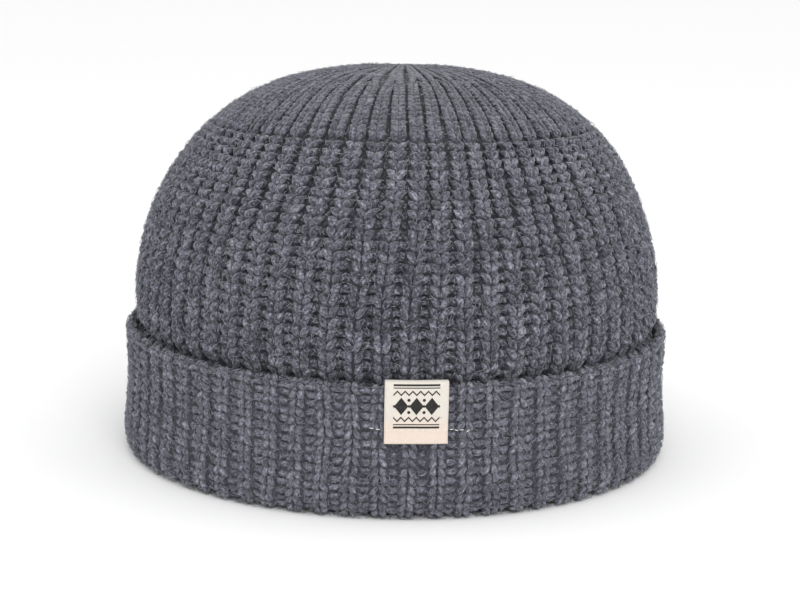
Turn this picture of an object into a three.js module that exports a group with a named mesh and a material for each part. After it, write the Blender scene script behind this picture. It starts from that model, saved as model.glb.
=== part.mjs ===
// Fisherman beanie in a chunky rib knit: a hollow crown, a cuff folded up round its foot,
// and a small woven label laid over the cuff's upper edge.
// Millimetres. +Z is up, the front faces -Y, and the folded rim rests on z = 0.

import * as THREE from 'three';

// The whole hat, measured over the cuff and up to the top of the crown
const HAT_WIDTH = 184;
const HAT_DEPTH = 202;
const HAT_HEIGHT = 128;

// The knit: one layer's thickness, its ribs, and the air between two layers
const KNIT_WALL = 3.4;
const RIB_DEPTH = 1.4;
const TOP_RIB_COUNT = 33;
const LAYER_GAP = 0.3;

// The crown: how far its shoulder lies inside the cuff's face, how far that shoulder is above
// the cuff, how far it leans to the right, how the dome rounds over (1 is an ellipse), and how
// far behind the middle its apex lies, with the share of the dome's width that is pulled along
const CROWN_INSET = 3.6;
const SHOULDER_RISE = 10;
const CROWN_LEAN = 1;
const DOME_ROUNDNESS = 0.69;
const DOME_LIFT = 1.07;
const NARROWING_DIP = 0.7;
const APEX_DIMPLE = 1.6;
const APEX_BACK = 26;
const PULLED_SHARE = 0.84;

// The cuff: height, depth of its flatter ribs, how far its middle is drawn in, the height of
// the rounded fold under it, how far the crown's foot is above that rounding, and the flat
// strip under the fold that the hat rests on
const CUFF_HEIGHT = 43;
const CUFF_RIB_DEPTH = 0.9;
const CUFF_WAIST = 1.3;
const FOLD_ROUND = 5;
const FOOT_RISE = 2.5;
const REST_STRIP = 2.6;

// The label: its width, how far it hangs below the cuff's edge and stands above it,
// its thickness, and how far it is to the right of the front's middle
const LABEL_WIDTH = 19.5;
const LABEL_DROP = 18.5;
const LABEL_STAND = 2;
const LABEL_THICKNESS = 0.9;
const LABEL_OFFSET = 6.8;

// Each rib is a valley and a flat-topped ridge. around: share of one rib's pitch.
// sunk: share of the rib's depth.
const RIB_SECTION = [
  { around: 0.0, sunk: 1 },
  { around: 0.27, sunk: 0.1 },
  { around: 0.73, sunk: 0.1 },
];

// Sections of the dome. along: share of the way from the shoulder to the apex. ribs: share of
// RIB_DEPTH. merged: how far every second valley has closed. dip: share of NARROWING_DIP.
const DOME_SECTIONS = [
  { along: 0.0, ribs: 1.0, merged: 0, dip: 0 },
  { along: 0.1, ribs: 1.0, merged: 0, dip: 0 },
  { along: 0.2, ribs: 1.0, merged: 0, dip: 0 },
  { along: 0.28, ribs: 0.95, merged: 0, dip: 0 },
  { along: 0.36, ribs: 0.9, merged: 0, dip: 0 },
  { along: 0.412, ribs: 0.8, merged: 0, dip: 0.2 },
  { along: 0.436, ribs: 0.5, merged: 0, dip: 1 },
  { along: 0.465, ribs: 0.85, merged: 0, dip: 0.3 },
  { along: 0.58, ribs: 0.8, merged: 0.2, dip: 0 },
  { along: 0.69, ribs: 0.75, merged: 1, dip: 0 },
];

// Sections above the last valley that closes, where each rib is twice as wide.
// dimple: share of APEX_DIMPLE.
const GATHER_SECTIONS = [
  { along: 0.74, ribs: 0.75, dimple: 0 },
  { along: 0.81, ribs: 0.65, dimple: 0 },
  { along: 0.88, ribs: 0.5, dimple: 0.1 },
  { along: 0.94, ribs: 0.3, dimple: 0.4 },
];

// The last small ring round the apex, and the sections of the smoother inside of the dome
const APEX_RING = { along: 0.975, dimple: 0.8 };
const INSIDE_SECTIONS = [0.96, 0.84, 0.7, 0.56, 0.42, 0.28, 0.14, 0.0];

// Sections of the cuff's face. up: share of CUFF_HEIGHT. waist: share of CUFF_WAIST.
const CUFF_SECTIONS = [
  { up: 0.21, waist: 0.0 },
  { up: 0.4, waist: 0.6 },
  { up: 0.66, waist: 1.0 },
  { up: 1.0, waist: 0.4 },
];

// Steps round a rolled edge. turn: share of a quarter circle. ribs: share of CUFF_RIB_DEPTH.
const FOLD_STEPS = [
  { turn: 0.62, ribs: 0.7 },
  { turn: 0.28, ribs: 1.0 },
];
const EDGE_STEPS = [
  { turn: 0.0, ribs: 1.0 },
  { turn: 0.5, ribs: 0.9 },
  { turn: 1.0, ribs: 0.6 },
];

// The label's outline, seen from its side. back: share of the way from its front to the
// crown. up: share of LABEL_STAND.
const LABEL_FOLD = [
  { back: 0.0, up: 0.3 },
  { back: 0.1, up: 0.75 },
  { back: 0.35, up: 1.0 },
  { back: 0.7, up: 0.95 },
  { back: 1.0, up: 0.55 },
];
const LABEL_COLUMNS = 8;

const RIB_COUNT = 2 * TOP_RIB_COUNT;
const CUFF_HALF_WIDTH = HAT_WIDTH / 2;
const CUFF_HALF_DEPTH = HAT_DEPTH / 2;
const CROWN_HALF_WIDTH = CUFF_HALF_WIDTH - CROWN_INSET;
const CROWN_HALF_DEPTH = CUFF_HALF_DEPTH - CROWN_INSET;
const SHOULDER_HEIGHT = CUFF_HEIGHT + SHOULDER_RISE;
const SEAT_HEIGHT = FOLD_ROUND + FOOT_RISE;
const WAIST_HEIGHT = CUFF_HEIGHT * CUFF_SECTIONS.find(({ waist }) => waist === 1).up;
const DOME_RISE = HAT_HEIGHT - SHOULDER_HEIGHT;
const QUARTER = Math.PI / 2;

// A point of the hat. turn goes once round the head from the front's middle, to the right.
function pointAt(turn, halfWidth, halfDepth, height, shift = 0) {
  const angle = turn * 2 * Math.PI;
  return {
    turn,
    x: halfWidth * Math.sin(angle) + shift,
    y: -halfDepth * Math.cos(angle),
    z: height,
  };
}

// A station says where a ring of the knit's surface lies: its half width, half depth, height
// and sideways shift, and the direction out of the cloth as its outwards and upwards parts.
// This is a point of its ring, a given distance below that surface.
function ringPoint(station, turn, below) {
  const { level, placed } = pullBack(station, turn);
  const point = pointAt(
    placed,
    level.halfWidth - below * level.outwards,
    level.halfDepth - below * level.outwards,
    level.height - below * level.upwards,
    level.shift,
  );
  return { ...point, turn };
}

// Rings near the apex are pulled back over the dome's own surface. Gives the station whose
// level a ring's point comes to lie on, and its turn there.
function pullBack(station, turn) {
  if (station.radius === undefined || station.radius >= PULLED_SHARE) {
    return { level: station, placed: turn };
  }
  const angle = turn * 2 * Math.PI;
  const pulled = Math.pow(1 - (station.radius / PULLED_SHARE) ** 2, 1.2);
  const across = station.radius * Math.sin(angle);
  const back = (APEX_BACK * pulled) / CROWN_HALF_DEPTH - station.radius * Math.cos(angle);
  return {
    level: domeStation(domeAlong(Math.hypot(across, back)), station.sink),
    placed: Math.atan2(across, -back) / (2 * Math.PI),
  };
}

// The same ring with the ribs' valleys, sunk below its surface by the given depth
function ribbedRing(station, ribCount, depth, merged = 0) {
  const points = [];
  for (let rib = 0; rib < ribCount; rib += 1) {
    for (const { around, sunk } of RIB_SECTION) {
      const closes = sunk === 1 && rib % 2 === 1 ? 1 - merged : 1;
      const inward = depth * sunk * closes;
      points.push(ringPoint(station, (rib + around) / ribCount, inward));
    }
  }
  return points;
}

// The same ring without ribs, a given distance below the surface
function plainRing(station, pointCount, below = 0) {
  const points = [];
  for (let i = 0; i < pointCount; i += 1) {
    points.push(ringPoint(station, i / pointCount, below));
  }
  return points;
}

// Triangles between two rings, which may have different numbers of points
function joinRings(triangles, first, second) {
  let i = 0;
  let j = 0;
  const turnOf = (ring, k) => ring[k % ring.length].turn + Math.floor(k / ring.length);
  while (i < first.length || j < second.length) {
    const a = first[i % first.length];
    const b = second[j % second.length];
    const stepFirst =
      j >= second.length ||
      (i < first.length && turnOf(first, i + 1) <= turnOf(second, j + 1));
    if (stepFirst) {
      triangles.push([a, first[(i + 1) % first.length], b]);
      i += 1;
    } else {
      triangles.push([a, second[(j + 1) % second.length], b]);
      j += 1;
    }
  }
}

// The fan of triangles that ends a skin at one point above its last ring
function closeRing(triangles, ring, tip) {
  ring.forEach((point, i) => {
    triangles.push([point, ring[(i + 1) % ring.length], tip]);
  });
}

// The fan that starts a skin at one point before its first ring
function openRing(triangles, ring, tip) {
  ring.forEach((point, i) => {
    triangles.push([tip, ring[(i + 1) % ring.length], point]);
  });
}

// An indexed mesh from triangles of shared point objects
function meshFrom(triangles, name, material) {
  const numbers = new Map();
  const positions = [];
  const index = [];
  for (const triangle of triangles) {
    for (const point of triangle) {
      if (!numbers.has(point)) {
        numbers.set(point, numbers.size);
        positions.push(point.x, point.y, point.z);
      }
      index.push(numbers.get(point));
    }
  }
  const geometry = new THREE.BufferGeometry();
  geometry.setAttribute('position', new THREE.Float32BufferAttribute(positions, 3));
  geometry.setIndex(index);
  geometry.computeVertexNormals();
  const mesh = new THREE.Mesh(geometry, material);
  mesh.name = name;
  return mesh;
}

// How far the cuff's face is drawn in at a height, read from its sections
function cuffInset(height) {
  const up = height / CUFF_HEIGHT;
  const last = CUFF_SECTIONS.length - 1;
  if (up <= CUFF_SECTIONS[0].up) return CUFF_SECTIONS[0].waist * CUFF_WAIST;
  if (up >= CUFF_SECTIONS[last].up) return CUFF_SECTIONS[last].waist * CUFF_WAIST;
  const above = CUFF_SECTIONS.findIndex((section) => section.up > up);
  const low = CUFF_SECTIONS[above - 1];
  const high = CUFF_SECTIONS[above];
  const share = (up - low.up) / (high.up - low.up);
  return THREE.MathUtils.lerp(low.waist, high.waist, share) * CUFF_WAIST;
}

// A station on or behind the cuff's widest outline
function cuffStation(inset, height, outwards, upwards) {
  return {
    halfWidth: CUFF_HALF_WIDTH - inset,
    halfDepth: CUFF_HALF_DEPTH - inset,
    height,
    shift: 0,
    outwards,
    upwards,
  };
}

// The dome's curve: both exponents are 1 on an ellipse. The steps are nearly even along it.
function domeCurve(along) {
  const angle = QUARTER * (1 - Math.pow(1 - along, 1 / DOME_ROUNDNESS));
  return {
    radius: Math.pow(Math.cos(angle), DOME_ROUNDNESS),
    height: SHOULDER_HEIGHT + DOME_RISE * Math.pow(Math.sin(angle), DOME_LIFT),
  };
}

// Where the dome has a given share of its full width
function domeAlong(radius) {
  const angle = Math.acos(Math.pow(radius, 1 / DOME_ROUNDNESS));
  return 1 - Math.pow(1 - angle / QUARTER, DOME_ROUNDNESS);
}

function domeStation(along, sink = 0) {
  const step = 0.01;
  const here = domeCurve(along);
  const before = domeCurve(Math.max(0, along - step));
  const after = domeCurve(Math.min(1, along + step));
  const run = (before.radius - after.radius) * CROWN_HALF_WIDTH;
  const rise = after.height - before.height;
  const slope = Math.hypot(run, rise);
  const outwards = rise / slope;
  const upwards = run / slope;
  return {
    radius: here.radius,
    sink,
    halfWidth: CROWN_HALF_WIDTH * here.radius - sink * outwards,
    halfDepth: CROWN_HALF_DEPTH * here.radius - sink * outwards,
    height: here.height - sink * upwards,
    shift: CROWN_LEAN,
    outwards,
    upwards,
  };
}

// The crown: one hollow layer of knit, open below, from its foot in the cuff's fold to the
// gathered apex. The list runs down the inside, round the foot and up the outside.
function buildCrown(material) {
  const triangles = [];
  const foot = SEAT_HEIGHT + LAYER_GAP;
  const hug = (height) =>
    cuffStation(cuffInset(height) + KNIT_WALL + LAYER_GAP, height, 1, 0);
  const lowered = (along) => plainRing(domeStation(along), RIB_COUNT, KNIT_WALL);
  const rings = INSIDE_SECTIONS.map(lowered);
  rings.push(plainRing(hug(CUFF_HEIGHT), RIB_COUNT, KNIT_WALL));
  rings.push(plainRing(hug(WAIST_HEIGHT), RIB_COUNT, KNIT_WALL));
  rings.push(plainRing(hug(foot), RIB_COUNT, KNIT_WALL));
  rings.push(plainRing(hug(foot), RIB_COUNT));
  rings.push(plainRing(hug(WAIST_HEIGHT), RIB_COUNT));
  rings.push(plainRing(hug(CUFF_HEIGHT - KNIT_WALL), RIB_COUNT));
  rings.push(ribbedRing(hug(CUFF_HEIGHT), RIB_COUNT, RIB_DEPTH));
  for (const { along, ribs, merged, dip } of DOME_SECTIONS) {
    const station = domeStation(along, dip * NARROWING_DIP);
    rings.push(ribbedRing(station, RIB_COUNT, ribs * RIB_DEPTH, merged));
  }
  for (const { along, ribs, dimple } of GATHER_SECTIONS) {
    const station = domeStation(along, dimple * APEX_DIMPLE);
    rings.push(ribbedRing(station, TOP_RIB_COUNT, ribs * RIB_DEPTH));
  }
  rings.push(
    plainRing(domeStation(APEX_RING.along, APEX_RING.dimple * APEX_DIMPLE), TOP_RIB_COUNT),
  );
  const tip = domeStation(1, APEX_DIMPLE);
  openRing(triangles, rings[0], ringPoint(tip, 0, KNIT_WALL));
  for (let i = 1; i < rings.length; i += 1) {
    joinRings(triangles, rings[i - 1], rings[i]);
  }
  closeRing(triangles, rings[rings.length - 1], ringPoint(tip, 0, 0));
  return meshFrom(triangles, 'crown', material);
}

// The cuff: the outer layer, rolled at its upper edge, with the whole fold below it. The
// crown's foot stands on the fold's seat. The list runs up the face, over the edge, down
// behind the layer, in over the seat, and round the fold to the strip that it rests on.
function buildCuff(material) {
  const triangles = [];
  const foldDepth = 2 * KNIT_WALL + LAYER_GAP;
  const restStart = (foldDepth - REST_STRIP) / 2;
  const restEnd = restStart + REST_STRIP;
  const edgeRound = KNIT_WALL / 2;
  const edgeHeight = CUFF_HEIGHT - edgeRound;
  const edgeInset = cuffInset(edgeHeight);
  const rings = [plainRing(cuffStation(restStart, 0, 0, -1), RIB_COUNT)];
  for (const { turn, ribs } of FOLD_STEPS) {
    const angle = turn * QUARTER;
    const inset = restStart * (1 - Math.cos(angle));
    const height = FOLD_ROUND * (1 - Math.sin(angle));
    const station = cuffStation(inset, height, Math.cos(angle), -Math.sin(angle));
    rings.push(ribbedRing(station, RIB_COUNT, ribs * CUFF_RIB_DEPTH));
  }
  for (const { up } of CUFF_SECTIONS.slice(0, -1)) {
    const height = up * CUFF_HEIGHT;
    const station = cuffStation(cuffInset(height), height, 1, 0);
    rings.push(ribbedRing(station, RIB_COUNT, CUFF_RIB_DEPTH));
  }
  for (const { turn, ribs } of EDGE_STEPS) {
    const angle = turn * QUARTER;
    const inset = edgeInset + edgeRound * (1 - Math.cos(angle));
    const height = edgeHeight + edgeRound * Math.sin(angle);
    const station = cuffStation(inset, height, Math.cos(angle), Math.sin(angle));
    rings.push(ribbedRing(station, RIB_COUNT, ribs * CUFF_RIB_DEPTH));
  }
  const behind = (height) => cuffStation(cuffInset(height) + KNIT_WALL, height, 1, 0);
  rings.push(plainRing(behind(edgeHeight), RIB_COUNT));
  rings.push(plainRing(behind(WAIST_HEIGHT), RIB_COUNT));
  rings.push(plainRing(behind(SEAT_HEIGHT), RIB_COUNT));
  rings.push(plainRing(cuffStation(foldDepth, SEAT_HEIGHT, 1, 0), RIB_COUNT));
  rings.push(plainRing(cuffStation(foldDepth, FOLD_ROUND, 1, 0), RIB_COUNT));
  const diagonal = QUARTER / 2;
  const innerInset = foldDepth - restStart * (1 - Math.cos(diagonal));
  const innerHeight = FOLD_ROUND * (1 - Math.sin(diagonal));
  rings.push(plainRing(cuffStation(innerInset, innerHeight, 1, 0), RIB_COUNT));
  rings.push(plainRing(cuffStation(restEnd, 0, 0, -1), RIB_COUNT));
  rings.forEach((ring, i) => {
    joinRings(triangles, ring, rings[(i + 1) % rings.length]);
  });
  return meshFrom(triangles, 'cuff', material);
}

// The label: a woven strip that hangs in front of the cuff and folds over its upper edge.
// Its outline is a list of points behind the cuff's face and up from the floor, and the
// strip repeats it across its width, following the cuff's curve.
function labelOutline() {
  const frontGap = LAYER_GAP + LABEL_THICKNESS;
  const lowest = CUFF_HEIGHT - LABEL_DROP;
  const middle = (lowest + CUFF_HEIGHT) / 2;
  const backInset = cuffInset(CUFF_HEIGHT) + KNIT_WALL - LABEL_THICKNESS / 2;
  const topFront = cuffInset(CUFF_HEIGHT) - frontGap;
  const heights = [lowest, middle, CUFF_HEIGHT];
  const outline = heights.map((height) => ({
    inset: cuffInset(height) - frontGap,
    height,
  }));
  for (const { back, up } of LABEL_FOLD) {
    outline.push({
      inset: THREE.MathUtils.lerp(topFront, backInset, back),
      height: CUFF_HEIGHT + LAYER_GAP + up * (LABEL_STAND - LAYER_GAP),
    });
  }
  outline.push({ inset: backInset, height: CUFF_HEIGHT + LAYER_GAP });
  heights.reverse();
  for (const height of heights) {
    outline.push({
      inset: cuffInset(height) - LAYER_GAP,
      height: height === CUFF_HEIGHT ? CUFF_HEIGHT + LAYER_GAP : height,
    });
  }
  return outline;
}

function buildLabel(material) {
  const triangles = [];
  const outline = labelOutline();
  const columns = [];
  for (let i = 0; i <= LABEL_COLUMNS; i += 1) {
    const across = LABEL_OFFSET + LABEL_WIDTH * (i / LABEL_COLUMNS - 0.5);
    const turn = Math.asin(across / CUFF_HALF_WIDTH) / (2 * Math.PI);
    columns.push(
      outline.map(({ inset, height }) =>
        pointAt(turn, CUFF_HALF_WIDTH - inset, CUFF_HALF_DEPTH - inset, height),
      ),
    );
  }
  const count = outline.length;
  for (let i = 1; i < columns.length; i += 1) {
    const left = columns[i - 1];
    const right = columns[i];
    for (let j = 0; j < count; j += 1) {
      const next = (j + 1) % count;
      triangles.push([left[j], right[j], right[next]]);
      triangles.push([left[j], right[next], left[next]]);
    }
  }
  const shape = outline.map(({ inset, height }) => new THREE.Vector2(inset, height));
  const faces = THREE.ShapeUtils.triangulateShape(shape, []);
  const leftEnd = columns[0];
  const rightEnd = columns[columns.length - 1];
  for (const [a, b, c] of faces) {
    triangles.push([leftEnd[a], leftEnd[c], leftEnd[b]]);
    triangles.push([rightEnd[a], rightEnd[b], rightEnd[c]]);
  }
  return meshFrom(triangles, 'label', material);
}

// Heathered charcoal wool and cream cotton tape
const crownWool = new THREE.MeshStandardMaterial({
  name: 'crown wool',
  color: 0x5f6068,
  roughness: 0.95,
  metalness: 0,
});
const cuffWool = new THREE.MeshStandardMaterial({
  name: 'cuff wool',
  color: 0x65666f,
  roughness: 0.95,
  metalness: 0,
});
const labelTape = new THREE.MeshStandardMaterial({
  name: 'label tape',
  color: 0xf2e4d6,
  roughness: 0.85,
  metalness: 0,
});

const beanie = new THREE.Group();
beanie.name = 'fisherman_beanie';
beanie.add(buildCrown(crownWool));
beanie.add(buildCuff(cuffWool));
beanie.add(buildLabel(labelTape));

export default beanie;
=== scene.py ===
from contextlib import contextmanager
import math

import bmesh
import bpy
import numpy as np
from bpy.props import FloatProperty, FloatVectorProperty, IntProperty, PointerProperty, StringProperty
from mathutils import Matrix, Vector


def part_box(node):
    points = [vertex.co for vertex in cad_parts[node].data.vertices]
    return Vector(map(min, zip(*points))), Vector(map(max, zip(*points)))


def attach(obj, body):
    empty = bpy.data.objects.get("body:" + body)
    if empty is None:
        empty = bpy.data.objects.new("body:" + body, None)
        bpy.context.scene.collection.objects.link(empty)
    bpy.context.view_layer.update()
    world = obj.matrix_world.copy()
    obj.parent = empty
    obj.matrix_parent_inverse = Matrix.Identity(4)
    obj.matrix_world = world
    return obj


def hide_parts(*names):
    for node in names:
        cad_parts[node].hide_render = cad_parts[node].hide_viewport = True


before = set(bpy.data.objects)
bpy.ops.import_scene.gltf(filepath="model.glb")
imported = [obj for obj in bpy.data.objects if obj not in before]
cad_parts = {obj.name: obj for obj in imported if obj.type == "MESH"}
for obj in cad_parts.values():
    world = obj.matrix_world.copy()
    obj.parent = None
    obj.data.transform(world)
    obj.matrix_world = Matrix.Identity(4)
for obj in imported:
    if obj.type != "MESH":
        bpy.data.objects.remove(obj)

# Dresses a chunky rib-knit fisherman beanie: yarn stitches over a ribbed cloth on the crown
# and the cuff, the gathers round the apex, a woven label and the thread that sews it on.
# Lengths are in metres. +Z is up, the front faces -Y, and the rim stands on z = 0.

bl_info = {
    "name": "Fisherman Beanie",
    "version": (1, 0, 0),
    "blender": (4, 5, 0),
    "location": "View3D > Sidebar > Beanie",
    "description": "Knits a cuffed beanie stitch by stitch and sews on its woven label",
    "category": "Add Mesh",
}

MM = 0.001
FULL_TURN = 2 * math.pi
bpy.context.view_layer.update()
CROWN_LOW, CROWN_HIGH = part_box("crown")
CUFF_LOW, CUFF_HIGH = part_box("cuff")
LABEL_LOW, LABEL_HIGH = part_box("label")
CUFF_HALF_WIDTH = (CUFF_HIGH.x - CUFF_LOW.x) / 2
CUFF_HALF_DEPTH = (CUFF_HIGH.y - CUFF_LOW.y) / 2
HAT_TOP = CROWN_HIGH.z
CROWN_FOOT = CROWN_LOW.z
LAYER_GAP = 0.3 * MM
FLOOR_GAP = 0.02 * MM

# The cuff's face at shares of its height, and how much of its waist each is drawn in
CUFF_FACE_HEIGHTS = (0.21, 0.4, 0.66, 1.0)
CUFF_FACE_DRAWN = (0.0, 0.6, 1.0, 0.4)

# Share of the dome's width inside which its rings are pulled back with the apex, and the
# power of the curve by which they follow it
PULLED_SHARE = 0.84
PULLED_POWER = 1.2

# The dimple deepens between these half widths of the dome
DIMPLE_REACH = (1 * MM, 13 * MM)

# The ribs crowd this far to one side or the other, in turns, once this far above the shoulder
WANDER = 0.0042
WANDER_RISE = 50 * MM

# The cuff presses the crown in most this far below its edge, over a band of this half width
PRESSED_BELOW = 0.6 * MM
PRESSED_WIDTH = 1.8 * MM

# Where on the dome, as shares of its height, its top starts and ends to lean
LEAN_REACH = (0.3, 0.85)


# Sizes and colours that a user would change

def length_property(name, size, description):
    """A length for a settings group, in metres."""
    return FloatProperty(name=name, description=description, default=size, unit="LENGTH")


def colour_property(name, value, description):
    """A colour for a settings group, as an sRGB hex value."""
    return StringProperty(name=name, description="sRGB colour of " + description, default=value)


class KnitSettings(bpy.types.PropertyGroup):
    rib_count: IntProperty(
        name="Ribs", description="Ribs round the hat, an even number", default=64, min=8)
    wall: length_property("Knit thickness", 3.4 * MM, "Thickness of one layer")
    rib_depth: length_property("Rib depth", 2.2 * MM, "Depth of the valleys between the crown's ribs")
    crown_row: length_property("Crown row", 3.5 * MM, "Height of one row of stitches low on the crown")
    gather_row: length_property("Gather row", 1.95 * MM, "Height of one row above the narrowing line")
    cuff_row: length_property("Cuff row", 2.82 * MM, "Height of one row on the cuff")
    fibre_count: IntProperty(
        name="Fibres", description="Loose fibres on each layer", default=15000, min=1)
    fibre_length: length_property("Fibre length", 3.4 * MM, "Length of the longest loose fibre")
    fibre_thickness: length_property("Fibre thickness", 0.22 * MM, "Thickness of a loose fibre")
    seed: IntProperty(name="Seed", description="Start of the hand-knit unevenness", default=7)


class CrownSettings(bpy.types.PropertyGroup):
    inset: length_property("Inset", 3.6 * MM, "Shoulder of the crown inside the cuff's face")
    shoulder_rise: length_property("Shoulder", 10 * MM, "Shoulder of the crown above the cuff's edge")
    lean: length_property("Lean", 1 * MM, "How far the dome's top leans to the right")
    roundness: FloatProperty(
        name="Roundness", description="How the dome draws in; 1 is an ellipse", default=0.69)
    lift: FloatProperty(
        name="Lift", description="How the dome rises; 1 is an ellipse", default=1.07)
    narrowing: FloatProperty(
        name="Narrowing line", description="How far the dome has drawn in at the finer rows",
        default=0.436, subtype="FACTOR")
    dimple: length_property("Dimple", 0.4 * MM, "How far the gathered apex is drawn in")
    lean_back: length_property("Lean back", 26 * MM, "How far the gathered apex lies behind the middle")
    tuck: length_property("Tuck", 2.1 * MM, "How far the cuff's edge presses the crown in")


class CuffSettings(bpy.types.PropertyGroup):
    waist: length_property("Waist", 1.3 * MM, "How far the cuff's middle is drawn in")
    fold_round: length_property("Fold", 6.8 * MM, "Height of the rounded fold under the cuff")
    rib_depth: length_property("Rib depth", 1.5 * MM, "Depth of the valleys between the cuff's ribs")


class LabelSettings(bpy.types.PropertyGroup):
    thickness: length_property("Thickness", 0.7 * MM, "Thickness of the woven tape")
    gap: length_property("Gap", 0.35 * MM, "Air between the tape and the knit")
    print_width: length_property("Ornament width", 14.2 * MM, "Width of the printed ornament")
    print_height: length_property("Ornament height", 13.8 * MM, "Height of the printed ornament")
    print_low: length_property(
        "Ornament place", 5.0 * MM, "Lower side of the ornament above the label's lower end")
    seam_height: length_property("Seam height", 4.3 * MM, "Sewn row above the label's lower end")


class ColourSettings(bpy.types.PropertyGroup):
    yarn_dark: colour_property("Dark fibres", "292a30", "the yarn's dark fibres")
    yarn_shade: colour_property("Yarn in shade", "44454c", "the loops between the ribs")
    yarn_middle: colour_property("Yarn", "53545e", "the yarn's body")
    yarn_light: colour_property("Light fibres", "878892", "the yarn's light fibres")
    # Painted light: the cuff's yarn is the crown's wool, given a lighter body so that the cuff reads
    # brighter
    yarn_cuff_lit: colour_property("Cuff yarn", "5f606a", "the body of the cuff's yarn")
    # Painted shade: the finer rows' light fibres are darker than the crown's, so that the upward-facing
    # top reads less bright
    yarn_fine_shaded: colour_property("Light fibres above", "7a7b85", "the light fibres in the finer rows")
    fibre: colour_property("Loose fibres", "a9aab3", "the palest loose fibres")
    tape: colour_property("Tape", "d1cbc2", "the label's tape")
    tape_warm: colour_property("Warm tape", "d7c8bc", "the label's lower end")
    ink: colour_property("Ink", "23211f", "the printed ornament")
    thread: colour_property("Thread", "f3f1ee", "the sewing thread")
    floor: colour_property("Floor", "f6f6f6", "the studio floor")


class StageSettings(bpy.types.PropertyGroup):
    eye: FloatVectorProperty(
        name="Camera place", description="Where the camera stands", subtype="XYZ", unit="LENGTH",
        default=(1.2 * MM, -873.6 * MM, 225.5 * MM))
    aim_height: length_property(
        "Aim height", 49.1 * MM, "Height on the hat's axis that the camera looks at")
    lens: FloatProperty(
        name="Focal length", description="Focal length in mm on a 36 mm wide sensor", default=117.8)
    roll: FloatProperty(
        name="Roll", description="How far the picture is turned clockwise",
        default=0.018, subtype="ANGLE")


SETTINGS = {
    "beanie_knit": KnitSettings,
    "beanie_crown": CrownSettings,
    "beanie_cuff": CuffSettings,
    "beanie_label": LabelSettings,
    "beanie_colours": ColourSettings,
    "beanie_stage": StageSettings,
}


# The shapes that every piece is laid on

class Meridian:
    """The side outline of a layer of knit, as rings of an ellipse that follow each other."""

    def __init__(self, rows, closed=False):
        table = np.array(rows, float)
        self.half_width, self.half_depth, self.height, self.shift = table.T
        steps = np.hypot(np.diff(self.half_width), np.diff(self.height))
        self.along = np.concatenate([[0.0], np.cumsum(steps)])
        self.length = self.along[-1]
        across = np.gradient(self.half_width, self.along)
        upwards = np.gradient(self.height, self.along)
        if closed:
            for slope in (across, upwards):
                slope[0] = slope[-1] = (slope[0] + slope[-1]) / 2
        size = np.hypot(across, upwards)
        self.outwards = upwards / size
        self.rising = -across / size

    def read(self, along, values):
        return np.interp(along, self.along, values)

    def place(self, turn, along, lift):
        """Points of the layer: turn goes once round from the front, lift is out of the cloth."""
        angle = FULL_TURN * np.asarray(turn)
        wide = self.read(along, self.half_width)
        deep = self.read(along, self.half_depth)
        out = self.read(along, self.outwards)
        side, front = np.sin(angle) * deep, -np.cos(angle) * wide
        size = np.maximum(np.hypot(side, front), 1e-9)
        x = wide * np.sin(angle) + self.read(along, self.shift) + lift * out * side / size
        y = -deep * np.cos(angle) + lift * out * front / size
        z = self.read(along, self.height) + lift * self.read(along, self.rising)
        return np.stack([x, y, z], axis=-1)


class CrownMeridian(Meridian):
    """The crown's outline, with its gathered apex pulled back over the dome's own surface."""

    def __init__(self, rows, shoulder, crown):
        super().__init__(rows)
        self.shoulder = np.interp(shoulder, self.height, self.along)
        self.edge = np.interp(CUFF_HIGH.z, self.height, self.along)
        self.crown = crown
        self.full_width, self.full_depth = self.half_width.max(), self.half_depth.max()
        dome = self.along >= self.shoulder
        self.dome_along = self.along[dome][::-1]
        self.dome_share = self.half_width[dome][::-1] / self.full_width

    def read_share(self, share):
        """The place along the outline where the dome has a share of its full width."""
        return np.interp(share, self.dome_share, self.dome_along)

    def back(self, along):
        """How far a ring's middle lies behind the hat's middle."""
        share = self.read(along, self.half_width) / self.full_width / PULLED_SHARE
        pulled = np.clip(1 - share * share, 0, 1) ** PULLED_POWER
        return np.where(along > self.shoulder, self.crown.lean_back * pulled, 0.0)

    def dip(self, along):
        """How far the outline sinks into the dimple round the apex."""
        wide = self.read(along, self.half_width)
        return self.crown.dimple * (1 - smooth_step(*DIMPLE_REACH, wide))

    def wander(self, turn, along):
        """How far the ribs crowd to one side or the other above the shoulder, in turns."""
        upper = smooth_step(self.shoulder, self.shoulder + WANDER_RISE, along)
        return WANDER * upper * np.sin(4 * FULL_TURN * turn + 1.5)

    def tuck(self, along):
        """How far the cuff's edge presses the cloth in, which is most just below the edge."""
        above = (along - self.edge + PRESSED_BELOW) / PRESSED_WIDTH
        return self.crown.tuck * np.exp(-above ** 2)

    def place(self, turn, along, lift):
        turn, along = np.asarray(turn, float), np.asarray(along, float)
        turn = turn + self.wander(turn, along)
        angle = FULL_TURN * turn
        x = self.read(along, self.half_width) * np.sin(angle)
        y = -self.read(along, self.half_depth) * np.cos(angle) + self.back(along)
        share = np.hypot(x / self.full_width, y / self.full_depth)
        on_dome = self.read_share(share)
        level = np.where(along > self.shoulder, on_dome, along)
        lift = lift - self.tuck(along)
        side, front = x / self.full_width ** 2, y / self.full_depth ** 2
        size = np.maximum(np.hypot(side, front), 1e-9)
        out = self.read(level, self.outwards)
        return np.stack([
            x + self.read(level, self.shift) + lift * out * side / size,
            y + lift * out * front / size,
            self.read(level, self.height) - self.dip(along) + lift * self.read(level, self.rising),
        ], axis=-1)


def smooth_step(low, high, value):
    share = np.clip((np.asarray(value) - low) / (high - low), 0, 1)
    return share * share * (3 - 2 * share)


def cuff_inset(height, cuff):
    """How far the cuff's face is drawn in at a height: nothing at the fold, most at its waist."""
    return cuff.waist * float(np.interp(height / CUFF_HIGH.z, CUFF_FACE_HEIGHTS, CUFF_FACE_DRAWN))


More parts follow.
